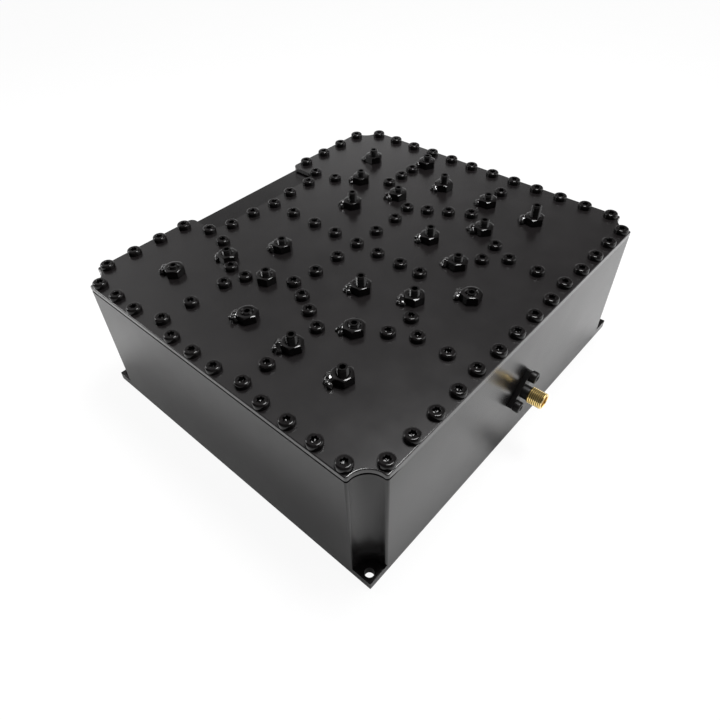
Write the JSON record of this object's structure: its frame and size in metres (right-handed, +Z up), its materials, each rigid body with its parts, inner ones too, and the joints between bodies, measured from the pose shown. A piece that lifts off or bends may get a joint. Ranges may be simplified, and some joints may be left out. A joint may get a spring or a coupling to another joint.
{
  "type": "cavity duplexer",
  "caption": "Flat block-shaped cavity duplexer: milled housing with coaxial resonators, screwed cover with tuning screws and lock nuts, and threaded coaxial ports.",
  "frame": {"origin": "middle of the housing's outline on the base face", "axes": "+X along the housing, +Y from the antenna port's face to the back, +Z up through the cover"},
  "size_m": [0.168, 0.167, 0.0639],
  "materials": {
    "satin_metal": "smooth satin grey metal",
    "black_cover": "black, half gloss",
    "dark_steel": "dark polished steel",
    "nut_steel": "dark bright steel",
    "tuner_steel": "dark bright steel",
    "black_steel": "black oxide",
    "gold_plate": "bright gold plate, the flange and neck black",
    "silver_plate": "silver plate",
    "white_insulator": "white fluoropolymer",
    "sealing_compound": "clear glossy lump"
  },
  "bodies": {
    "housing": {"housing": "satin_metal", "cover_plate": "black_cover", "edge_screws": "dark_steel", "inner_screws": "dark_steel", "lock_nuts": "nut_steel", "sealing_drops": "sealing_compound", "resonator_screws": "nut_steel", "port_screws": "black_steel", "antenna_port_shell": "gold_plate", "left_port_shell": "gold_plate", "right_port_shell": "gold_plate", "antenna_port_insulator": "white_insulator", "left_port_insulator": "white_insulator", "right_port_insulator": "white_insulator", "antenna_port_contact": "gold_plate", "left_port_contact": "gold_plate", "right_port_contact": "gold_plate", "resonator_1": "silver_plate", "resonator_2": "silver_plate", "resonator_3": "silver_plate", "resonator_4": "silver_plate", "resonator_5": "silver_plate", "resonator_6": "silver_plate", "resonator_7": "silver_plate", "resonator_8": "silver_plate", "resonator_9": "silver_plate", "resonator_10": "silver_plate", "resonator_11": "silver_plate"},
    "tuning_screw_1": {"tuning_screw_1": "tuner_steel"},
    "tuning_screw_2": {"tuning_screw_2": "tuner_steel"},
    "tuning_screw_3": {"tuning_screw_3": "tuner_steel"},
    "tuning_screw_4": {"tuning_screw_4": "tuner_steel"},
    "tuning_screw_5": {"tuning_screw_5": "tuner_steel"},
    "tuning_screw_6": {"tuning_screw_6": "tuner_steel"},
    "tuning_screw_7": {"tuning_screw_7": "tuner_steel"},
    "tuning_screw_8": {"tuning_screw_8": "tuner_steel"},
    "tuning_screw_9": {"tuning_screw_9": "tuner_steel"},
    "tuning_screw_10": {"tuning_screw_10": "tuner_steel"},
    "tuning_screw_11": {"tuning_screw_11": "tuner_steel"},
    "tuning_screw_12": {"tuning_screw_12": "tuner_steel"},
    "tuning_screw_13": {"tuning_screw_13": "tuner_steel"},
    "tuning_screw_14": {"tuning_screw_14": "tuner_steel"},
    "tuning_screw_15": {"tuning_screw_15": "tuner_steel"},
    "tuning_screw_16": {"tuning_screw_16": "tuner_steel"},
    "tuning_screw_17": {"tuning_screw_17": "tuner_steel"},
    "tuning_screw_18": {"tuning_screw_18": "tuner_steel"},
    "tuning_screw_19": {"tuning_screw_19": "tuner_steel"},
    "tuning_screw_20": {"tuning_screw_20": "tuner_steel"},
    "tuning_screw_21": {"tuning_screw_21": "tuner_steel"},
    "tuning_screw_22": {"tuning_screw_22": "tuner_steel"}
  },
  "joints": [
    {"name": "tuning_screw_1_slide", "type": "slide", "parent": "housing", "child": "tuning_screw_1", "axis": [0, 0, 1], "range_m": [-0.0023, 0.0135]},
    {"name": "tuning_screw_2_slide", "type": "slide", "parent": "housing", "child": "tuning_screw_2", "axis": [0, 0, 1], "range_m": [-0.0031, 0.0127]},
    {"name": "tuning_screw_3_slide", "type": "slide", "parent": "housing", "child": "tuning_screw_3", "axis": [0, 0, 1], "range_m": [-0.0018, 0.014]},
    {"name": "tuning_screw_4_slide", "type": "slide", "parent": "housing", "child": "tuning_screw_4", "axis": [0, 0, 1], "range_m": [-0.0041, 0.0117]},
    {"name": "tuning_screw_5_slide", "type": "slide", "parent": "housing", "child": "tuning_screw_5", "axis": [0, 0, 1], "range_m": [-0.0049, 0.0109]},
    {"name": "tuning_screw_6_slide", "type": "slide", "parent": "housing", "child": "tuning_screw_6", "axis": [0, 0, 1], "range_m": [-0.0031, 0.0177]},
    {"name": "tuning_screw_7_slide", "type": "slide", "parent": "housing", "child": "tuning_screw_7", "axis": [0, 0, 1], "range_m": [-0.0033, 0.0175]},
    {"name": "tuning_screw_8_slide", "type": "slide", "parent": "housing", "child": "tuning_screw_8", "axis": [0, 0, 1], "range_m": [-0.0045, 0.0163]},
    {"name": "tuning_screw_9_slide", "type": "slide", "parent": "housing", "child": "tuning_screw_9", "axis": [0, 0, 1], "range_m": [-0.0024, 0.0184]},
    {"name": "tuning_screw_10_slide", "type": "slide", "parent": "housing", "child": "tuning_screw_10", "axis": [0, 0, 1], "range_m": [-0.0037, 0.0171]},
    {"name": "tuning_screw_11_slide", "type": "slide", "parent": "housing", "child": "tuning_screw_11", "axis": [0, 0, 1], "range_m": [-0.004, 0.0118]},
    {"name": "tuning_screw_12_slide", "type": "slide", "parent": "housing", "child": "tuning_screw_12", "axis": [0, 0, 1], "range_m": [-0.0051, 0.0107]},
    {"name": "tuning_screw_13_slide", "type": "slide", "parent": "housing", "child": "tuning_screw_13", "axis": [0, 0, 1], "range_m": [-0.0048, 0.011]},
    {"name": "tuning_screw_14_slide", "type": "slide", "parent": "housing", "child": "tuning_screw_14", "axis": [0, 0, 1], "range_m": [-0.0062, 0.0096]},
    {"name": "tuning_screw_15_slide", "type": "slide", "parent": "housing", "child": "tuning_screw_15", "axis": [0, 0, 1], "range_m": [-0.0045, 0.0113]},
    {"name": "tuning_screw_16_slide", "type": "slide", "parent": "housing", "child": "tuning_screw_16", "axis": [0, 0, 1], "range_m": [-0.0037, 0.0171]},
    {"name": "tuning_screw_17_slide", "type": "slide", "parent": "housing", "child": "tuning_screw_17", "axis": [0, 0, 1], "range_m": [-0.0031, 0.0177]},
    {"name": "tuning_screw_18_slide", "type": "slide", "parent": "housing", "child": "tuning_screw_18", "axis": [0, 0, 1], "range_m": [-0.0031, 0.0177]},
    {"name": "tuning_screw_19_slide", "type": "slide", "parent": "housing", "child": "tuning_screw_19", "axis": [0, 0, 1], "range_m": [-0.0039, 0.0169]},
    {"name": "tuning_screw_20_slide", "type": "slide", "parent": "housing", "child": "tuning_screw_20", "axis": [0, 0, 1], "range_m": [-0.0033, 0.0175]},
    {"name": "tuning_screw_21_slide", "type": "slide", "parent": "housing", "child": "tuning_screw_21", "axis": [0, 0, 1], "range_m": [-0.0016, 0.0142]},
    {"name": "tuning_screw_22_slide", "type": "slide", "parent": "housing", "child": "tuning_screw_22", "axis": [0, 0, 1], "range_m": [-0.0035, 0.0173]}
  ]
}
